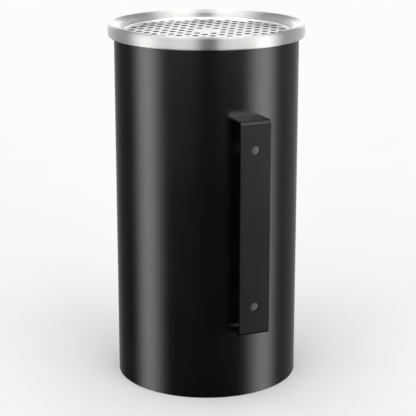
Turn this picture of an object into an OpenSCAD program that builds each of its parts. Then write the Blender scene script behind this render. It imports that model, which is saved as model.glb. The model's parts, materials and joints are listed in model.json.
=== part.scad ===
// Round ashtray bin for wall mounting: a black steel drum with a stainless lid ring,
// a lift-out perforated grille, a galvanised inner bucket and a folded wall bracket.
// Millimetres. The origin is on the drum's axis at the floor, +Z is up, and the
// bracket stands on the +Y side.

/* [Drum] */
// Outside diameter of the drum
drum_d = 260; // [254:2:270]
// Height from the floor to the top of the lid
overall_h = 512; // [506:2:640]
// Thickness of the drum's steel sheet
drum_t = 1; // [0.8:0.1:1]
// Diameter of the wire inside the drum's rolled top edge
rim_wire_d = 4; // [3.6:0.2:4]

/* [Lid] */
// How far the lid's outer wall stands out from the drum
lid_overhang = 8.5; // [7.5:0.5:11]
// Height of the lid's outer wall, lip to top
lid_h = 18; // [17:1:24]
// Angle at which the lid's top falls towards the middle
rim_fall = 13; // [11:1:13]
// Lean of the lid's inner wall from the vertical
wall_lean = 18; // [16:1:18]
// Depth of the locating skirt below the lid's lip
skirt_drop = 8; // [4:1:14]

/* [Grille] */
// Diameter of each hole
hole_d = 9.6; // [7:0.1:9.8]
// Half of the square that the staggered holes repeat on
hole_step = 11.7; // [11:0.1:11.7]
// Turn of the hole pattern about the drum's axis
pattern_turn = -27.3; // [-45:0.1:45]

/* [Wall bracket] */
// Height of the bracket
bracket_h = 300; // [240:5:320]
// Width of the bracket
bracket_w = 44; // [40:1:60]
// Thickness of the bracket's steel
bracket_t = 3; // [2:0.5:4]
// Distance from the drum to the wall
wall_gap = 35.4; // [30:0.2:60]
// Height of the bracket's lower end above the floor
bracket_z = 103; // [90:1:110]
// Diameter of the two screw holes
screw_hole_d = 12; // [6:1:14]
// Distance of each screw hole from its end of the bracket
screw_inset = 40; // [30:1:60]

/* [Bucket] */
// Outside diameter of the bucket's wall
bucket_d = 224; // [216:1:224]
// Height of the bucket's rim above the floor
bucket_rim_z = 364; // [300:1:366]
// Thickness of the bucket's galvanised sheet
bucket_t = 0.8; // [0.7:0.1:0.9]
// Diameter of the bail's wire
bail_d = 5; // [4:0.5:5]
// Diameter of the bail's grip
grip_d = 12.4; // [11:0.2:12.4]

/* [Hidden] */
$fn = 96;

// Colours
powder_black = "#18181a";
stainless = "#c9c9c8";
galvanised = "#9aa0a4";
bare_steel = "#6d7073";
rubber_black = "#141414";
plastic_black = "#222224";

// Clearance between pieces that lift apart
lift_gap = 0.3;
// How far a cutting shape runs past the face that it cuts
cut_past = 5;
// Largest turn between two points of a bend
bend_step = 10;

// Drum
drum_r = drum_d / 2;
drum_inner_r = drum_r - drum_t;
rim_roll_r = rim_wire_d / 2 + drum_t;
rim_roll_axis_r = drum_r - rim_roll_r;
roll_angle = 300;
base_t = 1.2;
base_bend_r = 3;
base_flange_h = 6.5;

// Lid ring: a spun strip with its lip at the bottom and a ledge inside
lid_t = 1;
lid_r = drum_r + lid_overhang;
lid_lip_z = overall_h - lid_h;
lip_gap = 1.5;
lip_bend_r = 3;
top_bend_r = 4;
edge_bend_r = 1.5;
ledge_bend_r = 0.5;
top_bend_axis_r = lid_r - top_bend_r;
top_bend_axis_z = overall_h - top_bend_r;
ledge_depth = 9.6;
ledge_z = overall_h - ledge_depth;
top_start_r = top_bend_axis_r - top_bend_r * sin(rim_fall);
top_start_z = top_bend_axis_z + top_bend_r * cos(rim_fall);
rim_w = 16.5;
edge_r = lid_r - rim_w;
top_len = (top_start_r - edge_r) / cos(rim_fall);
edge_turn = 90 - rim_fall - wall_lean;
edge_z = top_start_z - top_len * sin(rim_fall);
edge_drop = edge_bend_r * (cos(rim_fall) - sin(wall_lean));
ledge_turn = 90 - wall_lean;
ledge_drop = ledge_bend_r * (1 - cos(ledge_turn));
wall_len = (edge_z - edge_drop - ledge_drop - ledge_z) / cos(wall_lean);
edge_run = edge_bend_r * (cos(wall_lean) - sin(rim_fall));
ledge_run = ledge_bend_r * sin(ledge_turn);
ledge_start_r = edge_r - edge_run - wall_len * sin(wall_lean) - ledge_run;

// Grille: a flat perforated field with a raised flange that rests on the ledge
grille_t = 0.6;
grille_sink = 3;
grille_out_bend_r = 1.5;
grille_in_bend_r = 0.5;
grille_play = 0.2;
grille_r = ledge_start_r - grille_play;
grille_flange_w = 1.4;
grille_step_r = grille_r - grille_flange_w - grille_in_bend_r;
grille_z = ledge_z - grille_sink;
field_r = grille_step_r - grille_out_bend_r;
step_gap = 0.6;
ledge_end_r = grille_step_r + step_gap;
// Holes lie within this many steps of the middle, and the four nearest it are left out
pattern_reach = 9.44;
pattern_blank = 1.1;

// Sheet face under the lid's sloping top, at radius r
function lid_under_z(r) =
  top_bend_axis_z + (top_bend_r - lid_t) / cos(rim_fall) - (top_bend_axis_r - r) * tan(rim_fall);

// Seal and locating skirt under the lid
seal_t = 2;
seal_w = 6;
seal_inset = 0.4;
seal_outer_r = drum_r - seal_inset;
seal_inner_r = seal_outer_r - seal_w;
skirt_t = 1;
skirt_gap = 0.7;
skirt_r = drum_r - 2 * rim_roll_r - skirt_gap;
skirt_low_z = lid_lip_z - skirt_drop;

// Height of the rolled edge's centre: it just clears the seal
rim_roll_z = lid_under_z(rim_roll_axis_r) - (seal_t + rim_roll_r + lift_gap) / cos(rim_fall);

// Bracket
wall_y = drum_r + wall_gap;
bracket_bend_r = 4;
flange_overrun = 15;
bracket_top_z = bracket_z + bracket_h;
screw_z = [bracket_z + screw_inset, bracket_top_z - screw_inset];
weld_leg = 3;
weld_end_gap = 2;
weld_w = bracket_w - 2 * weld_end_gap;
backing_t = 1.5;
backing_w = 60;
backing_margin = 8;
access_hole_d = 14;
plug_head_d = 20;
plug_head_t = 2;
plug_play = 0.1;
plug_sink = 0.4;
bore_depth = 20;

// Bucket
bucket_r = bucket_d / 2;
bucket_low_z = base_t + lift_gap;
bucket_wire_r = 2.2;
bucket_roll_axis_r = bucket_r + bucket_wire_r;
bucket_roll_z = bucket_rim_z - bucket_wire_r - bucket_t;
rib_bend_r = 4;
rib_angle = 40;
rib_z = [110, 250];
bucket_base_rise = 5;
bucket_base_bend_r = 1;

// Bail and its ears
ear_t = 2;
ear_w = 24;
ear_tip_r = 7;
ear_shoulder = 10;
ear_outer_r = bucket_r - bucket_t;
ear_inner_r = ear_outer_r - ear_t;
ear_drop = 28;
eye_rise = grip_d / 2 + lift_gap;
eye_z = bucket_rim_z + eye_rise;
eye_play = 0.06;
rivet_r = 2;
rivet_head_r = 4;
rivet_head_h = 1.4;
rivet_spread = 3.4;
rivet_seat = 0.02;
rivet_drop = 18;
rivet_z = bucket_rim_z - rivet_drop;
bail_outset = 0.4;
bail_r = bucket_roll_axis_r + bail_outset;
bail_inset = 4.6;
bail_end_r = bucket_r - bail_inset;
bail_head_r = 4;
bail_head_t = 1.2;
grip_span = 46;

// Unit vector at angle a, and the one on its left
function ahead(a) = [cos(a), sin(a)];
function left(a) = [-sin(a), cos(a)];

// Points at a distance off to the left of a path that starts at p with heading h.
// A step of the path is [length, 0] for a flat or [radius, angle] for a bend, and a
// positive angle bends to the left.
function edge(steps, off, p = [0, 0], h = 0, i = 0) =
  i == len(steps) ? [p + off * left(h)] :
  let (size = steps[i][0], turn = steps[i][1])
  turn == 0 ?
    concat([p + off * left(h)], edge(steps, off, p + size * ahead(h), h, i + 1)) :
    let (
      arm = sign(turn) * size,
      centre = p + arm * left(h),
      parts = ceil(abs(turn) / bend_step)
    )
    concat(
      [for (k = [0 : parts - 1]) centre + (off - arm) * left(h + turn * k / parts)],
      edge(steps, off, centre - arm * left(h + turn), h + turn, i + 1)
    );

// Section of a bent sheet of thickness t that lies on the left of its path
module strip(steps, t) {
  near = edge(steps, 0);
  far = edge(steps, t);
  polygon(concat(near, [for (i = [len(far) - 1 : -1 : 0]) far[i]]));
}

// Everything within half a width of the YZ plane on the +Y side
module back_slab(w, z0, z1) {
  translate([-w / 2, 0, z0]) cube([w, 2 * drum_r, z1 - z0]);
}

// The driver's access holes, from inside the drum to the bracket
module access_bores(d, y0, y1) {
  for (z = screw_z)
    translate([0, y0, z]) rotate([-90, 0, 0]) cylinder(d = d, h = y1 - y0);
}

// Rolled steel drum, with its top edge rolled inwards over a wire
module drum_shell() {
  color(powder_black) difference() {
    rotate_extrude()
      translate([drum_r, 0]) rotate(90)
        strip([[rim_roll_z, 0], [rim_roll_r, roll_angle]], drum_t);
    access_bores(access_hole_d, drum_r - bore_depth, drum_r + cut_past);
  }
}

module drum_rim_wire() {
  color(bare_steel) rotate_extrude()
    translate([rim_roll_axis_r, rim_roll_z]) circle(d = rim_wire_d);
}

// Pressed base, with a flange turned up inside the drum
module base_plate() {
  color(powder_black) rotate_extrude()
    strip([
      [drum_inner_r - base_bend_r, 0],
      [base_bend_r, 90],
      [base_flange_h - base_bend_r, 0]
    ], base_t);
}

// Strip folded into a C, its two flanges cut to the drum's curve
module wall_bracket() {
  flange_len = wall_gap + flange_overrun - bracket_bend_r;
  color(powder_black) difference() {
    translate([-bracket_w / 2, wall_y - bracket_bend_r - flange_len, bracket_z])
      rotate([90, 0, 90]) linear_extrude(bracket_w)
        strip([
          [flange_len, 0],
          [bracket_bend_r, 90],
          [bracket_h - 2 * bracket_bend_r, 0],
          [bracket_bend_r, 90],
          [flange_len, 0]
        ], bracket_t);
    cylinder(r = drum_r, h = overall_h);
    access_bores(screw_hole_d, wall_y - bracket_t - cut_past, wall_y + cut_past);
  }
}

// Fillet weld along the drum at height z; side is 1 above that height, -1 below it
module flange_weld(z, side) {
  color(powder_black) intersection() {
    rotate_extrude()
      polygon([[drum_r, z], [drum_r + weld_leg, z], [drum_r, z + side * weld_leg]]);
    back_slab(weld_w, z - weld_leg, z + weld_leg);
  }
}

module bracket_weld_top() {
  flange_weld(bracket_top_z - bracket_t, -1);
}

module bracket_weld_bottom() {
  flange_weld(bracket_z + bracket_t, 1);
}

// Curved plate inside the drum that spreads the bracket's load
module backing_plate() {
  color(powder_black) difference() {
    intersection() {
      difference() {
        cylinder(r = drum_inner_r, h = overall_h);
        cylinder(r = drum_inner_r - backing_t, h = overall_h);
      }
      back_slab(backing_w, bracket_z - backing_margin, bracket_top_z + backing_margin);
    }
    access_bores(access_hole_d, drum_r - bore_depth, drum_r + cut_past);
  }
}

// Plugs that close the two access holes from inside the drum
module access_plugs() {
  inner_r = drum_inner_r - backing_t;
  head_y = sqrt(inner_r * inner_r - plug_head_d * plug_head_d / 4);
  color(plastic_black) {
    access_bores(plug_head_d, head_y - plug_head_t, head_y);
    access_bores(access_hole_d - 2 * plug_play, head_y - plug_head_t, drum_r - plug_sink);
  }
}

// Spun stainless ring: curled lip, outer wall, sloping top, inner wall and ledge
module lid_ring() {
  lip_len = lid_overhang - lip_gap - lip_bend_r;
  color(stainless) rotate_extrude()
    translate([drum_r + lip_gap, lid_lip_z])
      strip([
        [lip_len, 0],
        [lip_bend_r, 90],
        [lid_h - lip_bend_r - top_bend_r, 0],
        [top_bend_r, 90 + rim_fall],
        [top_len, 0],
        [edge_bend_r, edge_turn],
        [wall_len, 0],
        [ledge_bend_r, -ledge_turn],
        [ledge_start_r - ledge_end_r, 0]
      ], lid_t);
}

// Collar under the lid that drops inside the drum's rolled edge
module lid_skirt() {
  skirt_inner_r = skirt_r - skirt_t;
  color(powder_black) rotate_extrude()
    polygon([
      [skirt_inner_r, skirt_low_z],
      [skirt_r, skirt_low_z],
      [skirt_r, lid_under_z(skirt_r)],
      [skirt_inner_r, lid_under_z(skirt_inner_r)]
    ]);
}

// Soft ring between the lid and the drum's rolled edge
module lid_seal() {
  drop = seal_t / cos(rim_fall);
  color(rubber_black) rotate_extrude()
    polygon([
      [seal_inner_r, lid_under_z(seal_inner_r) - drop],
      [seal_outer_r, lid_under_z(seal_outer_r) - drop],
      [seal_outer_r, lid_under_z(seal_outer_r)],
      [seal_inner_r, lid_under_z(seal_inner_r)]
    ]);
}

// True where the hole pattern has a hole, at i and j steps from the middle
function has_hole(i, j) =
  abs(i + j) % 2 == 1 && norm([i, j]) > pattern_blank && norm([i, j]) < pattern_reach;

// Perforated disc that rests on the lid's ledge and lifts out
module grille() {
  reach = floor(pattern_reach);
  color(stainless) difference() {
    translate([0, 0, grille_z]) rotate_extrude()
      strip([
        [field_r, 0],
        [grille_out_bend_r, 90],
        [grille_sink - grille_out_bend_r - grille_in_bend_r, 0],
        [grille_in_bend_r, -90],
        [grille_flange_w, 0]
      ], grille_t);
    translate([0, 0, grille_z - cut_past]) rotate(pattern_turn)
      linear_extrude(grille_t + 2 * cut_past)
      for (i = [-reach : reach], j = [-reach : reach])
        if (has_hole(i, j)) translate(hole_step * [i, j]) circle(d = hole_d);
  }
}

// Steps of a stiffening rib pressed outwards
function rib() = [
  [rib_bend_r, -rib_angle],
  [rib_bend_r + bucket_t, 2 * rib_angle],
  [rib_bend_r, -rib_angle]
];

// Two rivets beside each other on each ear, at +X and -X
module rivet_places() {
  for (side = [0, 180], lean = [-rivet_spread, rivet_spread])
    rotate(side + lean) translate([0, 0, rivet_z]) rotate([0, 90, 0]) children();
}

// Galvanised wall, with two ribs and its top edge rolled outwards over a wire
module bucket_wall() {
  rib_len = 2 * (2 * rib_bend_r + bucket_t) * sin(rib_angle);
  color(galvanised) difference() {
    rotate_extrude()
      translate([bucket_r, bucket_low_z]) rotate(90)
        strip(concat(
          [[rib_z[0] - bucket_low_z, 0]],
          rib(),
          [[rib_z[1] - rib_z[0] - rib_len, 0]],
          rib(),
          [[bucket_roll_z - rib_z[1] - rib_len, 0], [bucket_wire_r, -roll_angle]]
        ), bucket_t);
    rivet_places() cylinder(r = rivet_r, h = bucket_r + cut_past);
  }
}

module bucket_rim_wire() {
  color(bare_steel) rotate_extrude()
    translate([bucket_roll_axis_r, bucket_roll_z]) circle(r = bucket_wire_r);
}

// Raised floor, with a flange turned down inside the wall
module bucket_base() {
  flange_r = bucket_r - 2 * bucket_t;
  color(galvanised) rotate_extrude()
    translate([0, bucket_low_z + bucket_base_rise])
      strip([
        [flange_r - bucket_base_bend_r, 0],
        [bucket_base_bend_r, -90],
        [bucket_base_rise - bucket_base_bend_r, 0]
      ], bucket_t);
}

// Outline of an ear on the plane that it faces, with its eye at the origin
module ear_outline() {
  foot = -eye_rise - ear_drop;
  shoulder = -eye_rise - ear_shoulder;
  polygon([
    [-ear_w / 2, foot],
    [ear_w / 2, foot],
    [ear_w / 2, shoulder],
    [ear_tip_r, 0],
    [-ear_tip_r, 0],
    [-ear_w / 2, shoulder]
  ]);
  circle(r = ear_tip_r);
}

// Ear that stands above the rim, curved to the bucket's wall; side is 1 at +X, -1 at -X
module bail_ear(side) {
  color(galvanised) difference() {
    intersection() {
      difference() {
        cylinder(r = ear_outer_r, h = overall_h);
        cylinder(r = ear_inner_r, h = overall_h);
      }
      translate([0, 0, eye_z]) rotate([90, 0, side * 90])
        linear_extrude(bucket_r) ear_outline();
    }
    translate([0, 0, eye_z]) rotate([0, side * 90, 0])
      cylinder(d = bail_d + 2 * eye_play, h = bucket_r);
    rivet_places() cylinder(r = rivet_r, h = bucket_r + cut_past);
  }
}

module bail_ear_left() {
  bail_ear(-1);
}

module bail_ear_right() {
  bail_ear(1);
}

// Four rivets, each with a domed head on both sides
module ear_rivets() {
  inner_z = sqrt(ear_inner_r * ear_inner_r - rivet_head_r * rivet_head_r) - rivet_seat;
  color(galvanised) rivet_places() {
    translate([0, 0, inner_z]) cylinder(r = rivet_r, h = bucket_r - inner_z);
    translate([0, 0, bucket_r]) cylinder(r1 = rivet_head_r, r2 = rivet_head_r / 2, h = rivet_head_h);
    translate([0, 0, inner_z - rivet_head_h])
      cylinder(r1 = rivet_head_r / 2, r2 = rivet_head_r, h = rivet_head_h);
  }
}

// Bail of round wire, lying folded over the rim on the -Y side
module bail_wire() {
  color(bare_steel) translate([0, 0, eye_z]) {
    rotate(180) rotate_extrude(angle = 180)
      translate([bail_r, 0]) circle(d = bail_d);
    for (side = [-1, 1]) {
      translate([side * bail_end_r, 0, 0]) rotate([0, side * 90, 0])
        cylinder(d = bail_d, h = bail_r + bail_d / 2 - bail_end_r);
      translate([side * bail_end_r, 0, 0]) rotate([0, side * 90, 0])
        cylinder(r = bail_head_r, h = bail_head_t);
    }
  }
}

// Moulded grip around the middle of the bail
module bail_grip() {
  color(plastic_black) translate([0, 0, eye_z])
    rotate(270 - grip_span / 2) rotate_extrude(angle = grip_span)
      translate([bail_r, 0]) difference() {
        circle(d = grip_d);
        circle(d = bail_d);
      }
}

drum_shell();
drum_rim_wire();
base_plate();
wall_bracket();
bracket_weld_top();
bracket_weld_bottom();
backing_plate();
access_plugs();
lid_ring();
lid_skirt();
lid_seal();
grille();
bucket_wall();
bucket_rim_wire();
bucket_base();
bail_ear_left();
bail_ear_right();
ear_rivets();
bail_wire();
bail_grip();
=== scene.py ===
"""Looks of the round wall ashtray bin: materials, floor, studio light and camera around the CAD model."""
import json
import math

import bmesh
import bpy
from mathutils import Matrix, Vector


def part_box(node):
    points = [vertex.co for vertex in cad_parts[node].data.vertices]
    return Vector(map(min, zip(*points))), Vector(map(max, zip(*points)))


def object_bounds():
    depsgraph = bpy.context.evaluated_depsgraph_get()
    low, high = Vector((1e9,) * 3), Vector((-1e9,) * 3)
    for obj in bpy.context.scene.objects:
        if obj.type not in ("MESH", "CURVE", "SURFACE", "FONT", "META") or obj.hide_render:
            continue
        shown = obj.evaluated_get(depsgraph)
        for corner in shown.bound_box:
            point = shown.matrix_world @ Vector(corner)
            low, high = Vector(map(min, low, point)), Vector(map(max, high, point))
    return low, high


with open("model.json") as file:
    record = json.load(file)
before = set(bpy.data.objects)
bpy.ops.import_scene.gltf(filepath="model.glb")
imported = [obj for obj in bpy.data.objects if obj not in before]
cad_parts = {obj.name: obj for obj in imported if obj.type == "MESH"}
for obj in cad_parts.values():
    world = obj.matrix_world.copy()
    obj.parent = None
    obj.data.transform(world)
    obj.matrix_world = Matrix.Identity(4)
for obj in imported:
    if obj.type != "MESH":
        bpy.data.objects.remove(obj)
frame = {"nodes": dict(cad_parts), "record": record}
cad_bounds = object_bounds()
scene = bpy.context.scene
nodes = frame["nodes"]

# Azimuth of the camera from +X towards +Y, its distance from the drum's axis and its height, in metres
CAMERA_AZIMUTH = math.radians(66.6)
CAMERA_DISTANCE = 2.0
CAMERA_HEIGHT = 0.80
CAMERA_PITCH = math.radians(15.6)
CAMERA_TURN = math.radians(-0.06)
CAMERA_REACH = 50.0
LENS = 123.75
SENSOR = 36.0

# Radius inside which the grille is flat and punched: its flange stands outside it
FLANGE_BAND = 0.0036
FIELD_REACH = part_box("grille")[1][0] - FLANGE_BAND

# The floor is a disc, just below the object's lowest point
FLOOR_RADIUS = 6.0
FLOOR_SIDES = 64
FLOOR_GAP = 0.0002

# Brightness of the studio dome: every level below is a share of it
DOME_STRENGTH = 4.6
# Levels around the object below the horizon, by degrees to the right of the camera: a tall light on each side
LOW_SIDE = [
    (-180, 0.22), (-162, 0.1), (-140, 0.03), (-106, 0.012), (-78, 1.0),
    (-50, 0.006), (-36, 0.001), (30, 0.001), (43, 0.006), (73, 1.0),
    (100, 0.05), (140, 0.07), (160, 0.16), (180, 0.3),
]
# The same above the horizon: bright ahead, but for a narrow dark gap behind the camera
HIGH_SIDE = [
    (-180, 0.24), (-160, 0.25), (-112, 0.24), (-80, 0.2), (-52, 0.8),
    (-40, 1.0), (-14, 1.0), (-5, 0.0), (10, 0.0), (18, 1.0),
    (46, 1.0), (58, 0.8), (86, 0.2), (112, 0.24), (160, 0.25), (180, 0.24),
]
# How much the right-hand light moves round with height
LEAN = 0.15
# Strength of the low lights at the horizon, and its slope against the sine of the height
FADE_AT_HORIZON = 1.228
FADE_SLOPE = 1.2
# Factor on the high levels, against the sine of the height: they are strong near the horizon only
HIGH_FACTOR = [(0.16, 2.1), (0.36, 0.15)]
# Where the dome's zones meet, from 0 straight down to 1 straight up
UNDER_ZONE = [(0.13, 1.0), (0.26, 0.0)]
HIGH_ZONE = [(0.48, 0.0), (0.58, 1.0)]
OVERHEAD_ZONE = [(0.86, 0.0), (0.97, 1.0)]
UNDER_LEVEL = 0.01
OVERHEAD_LEVEL = 0.4


# ---------------------------------------------------------------- node helpers

def grey(level, warmth=0.0):
    return (level * (1 + warmth), level, level * (1 - warmth), 1.0)


class Tree:
    """A node tree, with short calls to add and link its nodes."""

    def __init__(self, tree):
        self.tree = tree
        tree.nodes.clear()

    def add(self, kind, **values):
        node = self.tree.nodes.new(kind)
        for key, value in values.items():
            setattr(node, key, value)
        return node

    def link(self, source, target):
        self.tree.links.new(source, target)

    def feed(self, value, socket):
        """Links an output to the socket, or writes a plain value on it."""
        if isinstance(value, bpy.types.NodeSocket):
            self.link(value, socket)
        else:
            socket.default_value = value

    def calc(self, operation, a, b=0.0):
        node = self.add("ShaderNodeMath", operation=operation)
        self.feed(a, node.inputs[0])
        self.feed(b, node.inputs[1])
        return node.outputs[0]

    def split(self, vector):
        node = self.add("ShaderNodeSeparateXYZ")
        self.link(vector, node.inputs[0])
        return node.outputs

    def blend(self, factor, first, second, clamp=True):
        """Mix of two colours. Without the clamp, a factor above 1 runs past the second colour."""
        node = self.add("ShaderNodeMix", data_type="RGBA", clamp_factor=clamp)
        self.feed(factor, node.inputs[0])
        self.feed(first, node.inputs[6])
        self.feed(second, node.inputs[7])
        return node.outputs[2]

    def ramp(self, value, stops):
        """Level at the value, eased between stops of (position, level)."""
        node = self.add("ShaderNodeValToRGB")
        node.color_ramp.interpolation = "EASE"
        elements = node.color_ramp.elements
        while len(elements) < len(stops):
            elements.new(0.5)
        for element, (position, level) in zip(elements, stops):
            element.position = position
            element.color = grey(level)
        self.link(value, node.inputs[0])
        return node.outputs[0]


class Shader(Tree):
    """A material with a principled surface, and its texture nodes."""

    def __init__(self, name):
        self.material = bpy.data.materials.new(name)
        self.material.use_nodes = True
        super().__init__(self.material.node_tree)
        self.surface = self.add("ShaderNodeBsdfPrincipled")
        output = self.add("ShaderNodeOutputMaterial")
        self.link(self.surface.outputs["BSDF"], output.inputs["Surface"])

    def set(self, **values):
        for key, value in values.items():
            self.feed(value, self.surface.inputs[key.replace("_", " ")])

    def place(self):
        """Point on the surface in the row frame, in metres."""
        return self.add("ShaderNodeTexCoord").outputs["Object"]

    def radius(self, x, y):
        """Distance from the drum's axis."""
        squares = self.calc("ADD", self.calc("MULTIPLY", x, x), self.calc("MULTIPLY", y, y))
        return self.calc("SQRT", squares)

    def stretched(self, values, factors):
        """Vector of three values, each times its factor."""
        node = self.add("ShaderNodeCombineXYZ")
        for value, factor, socket in zip(values, factors, node.inputs):
            self.link(self.calc("MULTIPLY", value, factor), socket)
        return node.outputs[0]

    def noise(self, vector, scale, detail=2.0, roughness=0.5, w=None):
        node = self.add("ShaderNodeTexNoise", noise_dimensions="3D" if w is None else "4D")
        self.feed(vector, node.inputs["Vector"])
        node.inputs["Scale"].default_value = scale
        node.inputs["Detail"].default_value = detail
        node.inputs["Roughness"].default_value = roughness
        if w is not None:
            self.feed(w, node.inputs["W"])
        return node.outputs["Fac"]

    def spread(self, value, low, high, start=0.0, end=1.0):
        """Value rescaled from start..end to low..high, clamped."""
        node = self.add("ShaderNodeMapRange")
        self.feed(value, node.inputs["Value"])
        node.inputs["From Min"].default_value = start
        node.inputs["From Max"].default_value = end
        node.inputs["To Min"].default_value = low
        node.inputs["To Max"].default_value = high
        return node.outputs["Result"]

    def even(self, noise, low=0.0, high=1.0):
        """Noise, which keeps near its middle, spread out to low..high."""
        return self.spread(noise, low, high, 0.3, 0.7)

    def weighted(self, first, second, share):
        """Sum of two values, the second with the given share."""
        return self.calc(
            "ADD", self.calc("MULTIPLY", first, 1.0 - share), self.calc("MULTIPLY", second, share)
        )

    def bump(self, height, distance):
        node = self.add("ShaderNodeBump")
        node.inputs["Strength"].default_value = 1.0
        node.inputs["Distance"].default_value = distance
        self.feed(height, node.inputs["Height"])
        self.link(node.outputs["Normal"], self.surface.inputs["Normal"])


# ------------------------------------------------------------------- materials

def powder_coat():
    """Satin black powder coat: fine orange peel and slight changes of gloss."""
    s = Shader("powder_coat")
    point = s.place()
    patches = s.noise(point, 9.0, detail=3.0)
    peel = s.noise(point, 900.0)
    s.set(
        Base_Color=s.blend(patches, grey(0.0006, -0.02), grey(0.001, -0.02)),
        Roughness=s.even(patches, 0.24, 0.27),
        IOR=1.5,
    )
    s.bump(peel, 0.00003)
    return s.material


def turned_steel(name, base, low, high):
    """Stainless steel brushed around the drum's axis."""
    fine_pitch = 1800.0
    wide_pitch = 420.0
    s = Shader(name)
    x, y, z = s.split(s.place())
    radius = s.radius(x, y)
    fine_at = s.stretched((x, y, radius), (12.0, 12.0, fine_pitch))
    fine = s.noise(fine_at, 1.0, detail=4.0, roughness=0.65, w=s.calc("MULTIPLY", z, fine_pitch))
    wide_at = s.stretched((x, y, radius), (9.0, 9.0, wide_pitch))
    wide = s.noise(wide_at, 1.0, w=s.calc("MULTIPLY", z, wide_pitch))
    lines = s.weighted(fine, wide, 0.4)
    s.set(
        Base_Color=s.blend(s.even(lines), grey(base * 0.9, 0.004), grey(base, 0.004)),
        Metallic=1.0,
        Roughness=s.even(lines, low, high),
        Anisotropic=1.0,
        Anisotropic_Rotation=0.25,
        Tangent=s.add("ShaderNodeTangent", direction_type="RADIAL", axis="Z").outputs[0],
    )
    s.bump(lines, 0.00002)
    return s.material


def sheet_steel(name, base, low, high):
    """Stainless sheet brushed in one direction. Its punched hole walls are rougher, for their dull sheared
    faces, and painted near black as painted shade inside the holes.
    """
    s = Shader(name)
    x, y, z = s.split(s.place())
    facing = s.split(s.add("ShaderNodeTexCoord").outputs["Normal"])
    upright = s.spread(s.calc("ABSOLUTE", facing[2]), 1.0, 0.0, 0.3, 0.7)
    # Mask of the hole walls in the punched field: it adds roughness for the real dull tear, and paints the
    # walls near black as painted shade inside the holes
    torn_wall_and_painted_shade = s.calc("MULTIPLY", upright, s.calc("LESS_THAN", s.radius(x, y), FIELD_REACH))
    lines_at = s.stretched((x, y, z), (25.0, 1500.0, 300.0))
    lines = s.noise(lines_at, 1.0, detail=4.0, roughness=0.6)
    brushed = s.blend(s.even(lines), grey(base * 0.92), grey(base))
    # The near-black grey(0.05) on the hole walls is painted shade; only their added roughness is the real
    # sheared face
    s.set(
        Base_Color=s.blend(torn_wall_and_painted_shade, brushed, grey(0.05)),
        Metallic=1.0,
        Roughness=s.calc("ADD", s.even(lines, low, high), s.calc("MULTIPLY", torn_wall_and_painted_shade, 0.3)),
    )
    s.bump(lines, 0.00002)
    return s.material


def galvanised():
    """Hot-dip galvanised sheet, with spangle and dull patches."""
    s = Shader("galvanised")
    point = s.place()
    spangle = s.add("ShaderNodeTexVoronoi", feature="F1")
    spangle.inputs["Scale"].default_value = 110.0
    s.link(point, spangle.inputs["Vector"])
    cell = s.add("ShaderNodeSeparateColor")
    s.link(spangle.outputs["Color"], cell.inputs[0])
    cloud = s.noise(point, 22.0, detail=4.0)
    tone = s.weighted(cell.outputs[0], cloud, 0.45)
    s.set(
        Base_Color=s.blend(tone, (0.33, 0.345, 0.36, 1.0), (0.6, 0.615, 0.63, 1.0)),
        Metallic=0.92,
        Roughness=s.spread(tone, 0.5, 0.34),
    )
    s.bump(s.calc("ADD", cell.outputs[1], s.noise(point, 700.0)), 0.00002)
    return s.material


def wire(name, dark, light):
    """Drawn steel wire with faint die marks."""
    s = Shader(name)
    point = s.place()
    marks = s.noise(point, 1200.0, detail=3.0)
    dull = s.noise(point, 60.0, detail=3.0)
    s.set(
        Base_Color=s.blend(dull, grey(dark, -0.01), grey(light, -0.01)),
        Metallic=1.0,
        Roughness=s.spread(marks, 0.24, 0.4),
    )
    s.bump(marks, 0.00001)
    return s.material


def moulded_plastic():
    """Black plastic with the fine pits of its mould."""
    s = Shader("black_plastic")
    point = s.place()
    pits = s.noise(point, 1600.0)
    shade = s.noise(point, 40.0, detail=3.0)
    s.set(
        Base_Color=s.blend(shade, grey(0.012), grey(0.02)),
        Roughness=s.spread(pits, 0.42, 0.58),
        IOR=1.5,
    )
    s.bump(pits, 0.00004)
    return s.material


def sponge_rubber():
    """Dull black rubber with open pores."""
    s = Shader("seal_rubber")
    pores = s.noise(s.place(), 1400.0, detail=3.0)
    s.set(
        Base_Color=s.blend(pores, grey(0.008), grey(0.02)),
        Roughness=s.spread(pores, 0.72, 0.9),
    )
    s.bump(pores, 0.00008)
    return s.material


looks = {
    "powder_coat": powder_coat(),
    "lid_steel": turned_steel("lid_steel", 0.77, 0.46, 0.54),
    "grille_steel": sheet_steel("grille_steel", 0.92, 0.3, 0.42),
    "galvanised": galvanised(),
    "bare_wire": wire("bare_wire", 0.25, 0.4),
    "bail_wire": wire("bail_wire", 0.45, 0.62),
    "black_plastic": moulded_plastic(),
    "seal_rubber": sponge_rubber(),
}

for part in frame["record"]["subparts"]:
    node = nodes[part["node"]]
    node.data.materials.clear()
    node.data.materials.append(looks[part["material_slot"]])


# ----------------------------------------------------------------------- floor

def make_floor():
    """Pale floor, which takes the object's soft shadow and stays out of its reflections."""
    mesh = bmesh.new()
    bmesh.ops.create_circle(mesh, cap_ends=True, radius=FLOOR_RADIUS, segments=FLOOR_SIDES)
    data = bpy.data.meshes.new("floor")
    mesh.to_mesh(data)
    mesh.free()
    floor = bpy.data.objects.new("floor", data)
    scene.collection.objects.link(floor)
    floor.location.z = cad_bounds[0][2] - FLOOR_GAP
    floor.visible_glossy = False
    s = Shader("floor")
    s.set(
        Base_Color=s.blend(s.noise(s.place(), 3.0), grey(0.93), grey(0.95)),
        Roughness=0.9,
        Specular_IOR_Level=0.0,
    )
    data.materials.append(s.material)


make_floor()


# ---------------------------------------------------------------- studio light

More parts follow.
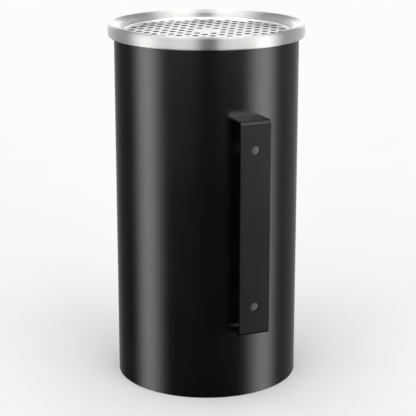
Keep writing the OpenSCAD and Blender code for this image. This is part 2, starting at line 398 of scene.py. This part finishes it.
def make_world():
    """Soft studio dome, fixed in the row frame. The camera itself sees plain white paper."""
    world = bpy.data.worlds.new("studio")
    scene.world = world
    world.use_nodes = True
    w = Tree(world.node_tree)
    x, y, z = w.split(w.add("ShaderNodeTexCoord").outputs["Generated"])
    towards = Vector((math.cos(CAMERA_AZIMUTH), math.sin(CAMERA_AZIMUTH), 0.0))
    right = Vector((-towards.y, towards.x, 0.0))

    def along(axis):
        return w.calc("ADD", w.calc("MULTIPLY", x, axis.x), w.calc("MULTIPLY", y, axis.y))

    def around(value, levels):
        return w.ramp(value, [(degrees / 360.0 + 0.5, level) for degrees, level in levels])

    # Turns to the right of the camera's side, -0.5 to 0.5, and the same from 0 to 1 for the ramps
    angle = w.calc("DIVIDE", w.calc("ARCTAN2", along(right), along(towards)), 2 * math.pi)
    turned = w.calc("ADD", angle, 0.5)
    lean = w.calc("MULTIPLY", w.calc("MULTIPLY", w.calc("MAXIMUM", angle, 0.0), z), LEAN)
    fade = w.calc("ADD", w.calc("MULTIPLY", z, FADE_SLOPE), FADE_AT_HORIZON)
    low_side = around(w.calc("ADD", turned, lean), LOW_SIDE)
    high_side = around(turned, HIGH_SIDE)
    low = w.blend(fade, grey(0.0), low_side, clamp=False)
    high = w.blend(w.ramp(z, HIGH_FACTOR), grey(0.0), high_side, clamp=False)

    rise = w.calc("ADD", w.calc("MULTIPLY", z, 0.5), 0.5)
    level = w.blend(w.ramp(rise, HIGH_ZONE), low, high)
    level = w.blend(w.ramp(rise, UNDER_ZONE), level, grey(UNDER_LEVEL))
    level = w.blend(w.ramp(rise, OVERHEAD_ZONE), level, grey(OVERHEAD_LEVEL))

    dome = w.add("ShaderNodeBackground")
    w.link(level, dome.inputs["Color"])
    dome.inputs["Strength"].default_value = DOME_STRENGTH
    paper = w.add("ShaderNodeBackground")
    paper.inputs["Color"].default_value = grey(1.0)
    choose = w.add("ShaderNodeMixShader")
    w.link(w.add("ShaderNodeLightPath").outputs["Is Camera Ray"], choose.inputs[0])
    w.link(dome.outputs[0], choose.inputs[1])
    w.link(paper.outputs[0], choose.inputs[2])
    w.link(choose.outputs[0], w.add("ShaderNodeOutputWorld").inputs["Surface"])


make_world()
scene.view_settings.view_transform = "Standard"


# ---------------------------------------------------------------------- camera

def make_camera():
    data = bpy.data.cameras.new("camera")
    data.sensor_width = SENSOR
    data.lens = LENS
    data.clip_end = CAMERA_REACH
    camera = bpy.data.objects.new("camera", data)
    scene.collection.objects.link(camera)
    camera.location = (
        CAMERA_DISTANCE * math.cos(CAMERA_AZIMUTH),
        CAMERA_DISTANCE * math.sin(CAMERA_AZIMUTH),
        CAMERA_HEIGHT,
    )
    heading = CAMERA_AZIMUTH + math.pi / 2 + CAMERA_TURN
    camera.rotation_euler = (math.pi / 2 - CAMERA_PITCH, 0.0, heading)
    scene.camera = camera


make_camera()
